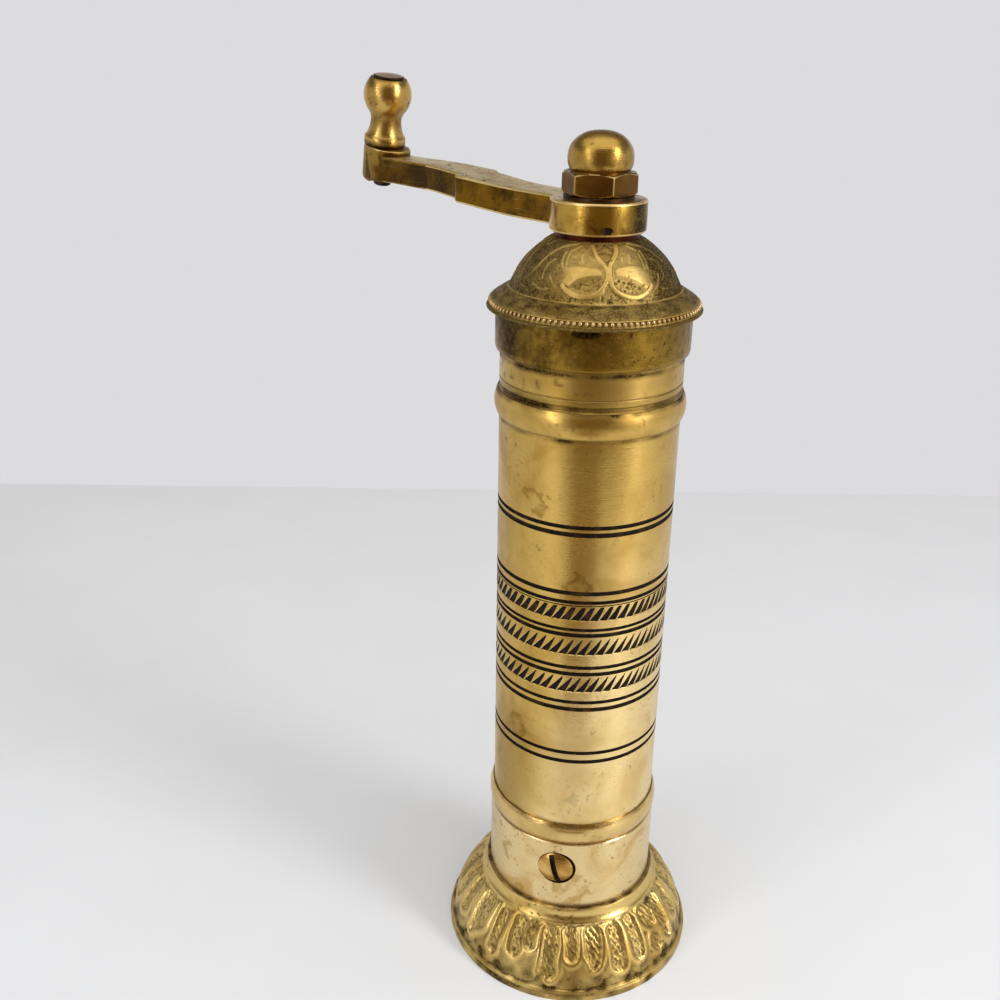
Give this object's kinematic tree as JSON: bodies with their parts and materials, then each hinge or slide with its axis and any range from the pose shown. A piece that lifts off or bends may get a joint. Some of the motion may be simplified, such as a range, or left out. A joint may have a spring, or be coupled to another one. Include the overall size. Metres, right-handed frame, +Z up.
{
  "type": "turkish coffee grinder",
  "caption": "Slim brass hand mill with a flared embossed foot, banded tube, domed lid and a cranked arm that turns a conical burr inside.",
  "frame": {"origin": "centre of the foot's rim, on the surface that the mill stands on", "axes": "+Z up along the shaft, crank arm along -X at rest"},
  "size_m": [0.1095, 0.0596, 0.1993],
  "materials": {
    "tube_brass": "warm worn polished brass, stained",
    "base_brass": "paler polished brass, dirt in the recesses",
    "lid_brass": "aged brass with olive brown patina",
    "crank_brass": "aged cast brass, worn bright on the edges",
    "nut_bronze": "browned bronze, worn bright on the edges",
    "copper": "dull copper",
    "dark_steel": "oiled dark steel",
    "burr_iron": "cast iron, teeth worn grey",
    "inner_brass": "plain unpolished brass"
  },
  "bodies": {
    "body": {"flared_foot": "base_brass", "base_sleeve": "base_brass", "base_screws": "base_brass", "lower_bead_ring": "tube_brass", "body_tube": "tube_brass", "upper_bead_ring": "tube_brass", "stator_burr": "burr_iron", "lower_bridge": "inner_brass", "bridge_screws": "dark_steel", "upper_guide": "inner_brass"},
    "spring_seat": {"spring_washer": "dark_steel", "shaft_spring": "dark_steel"},
    "adjuster": {"adjusting_screw": "inner_brass"},
    "shaft": {"drive_shaft": "dark_steel", "rotor_burr": "burr_iron", "rotor_pin": "dark_steel", "spring_collar": "dark_steel", "collar_pin": "dark_steel"},
    "nut": {"cap_nut": "nut_bronze", "nut_washer": "dark_steel"},
    "crank": {"crank_arm": "crank_brass", "knob_pin": "nut_bronze"},
    "knob": {"knob": "crank_brass"},
    "lid": {"lid_collar": "lid_brass", "dome_lid": "lid_brass", "hub_washer": "copper"}
  },
  "joints": [
    {"name": "grind_gap", "type": "slide", "parent": "body", "child": "spring_seat", "axis": [0, 0, 1], "range_m": [0, 0.0008], "deforming": ["shaft_spring"]},
    {"name": "adjuster_turn", "type": "hinge", "parent": "spring_seat", "child": "adjuster", "pos_m": [0, 0, 0.02], "axis": [0, 0, 1], "range_deg": [0, 288]},
    {"name": "crank_turn", "type": "hinge", "parent": "spring_seat", "child": "shaft", "pos_m": [0, 0, 0.1], "axis": [0, 0, 1], "continuous": true},
    {"name": "nut_lift", "type": "slide", "parent": "shaft", "child": "nut", "axis": [0, 0, 1], "range_m": [0, 0.06]},
    {"name": "crank_lift", "type": "slide", "parent": "shaft", "child": "crank", "axis": [0, 0, 1], "range_m": [0, 0.045]},
    {"name": "lid_lift", "type": "slide", "parent": "body", "child": "lid", "axis": [0, 0, 1], "range_m": [0, 0.027]},
    {"name": "knob_spin", "type": "hinge", "parent": "crank", "child": "knob", "pos_m": [-0.0741, 0, 0.17907], "axis": [0.1633, 0, 0.9866], "continuous": true}
  ],
  "couplings": [
    {"joint": "adjuster_turn", "follows": "grind_gap", "rad_per_m": 6283.2},
    {"joint": "crank_lift", "follows": "nut_lift", "ratio": 0.75},
    {"joint": "lid_lift", "follows": "nut_lift", "ratio": 0.45}
  ]
}
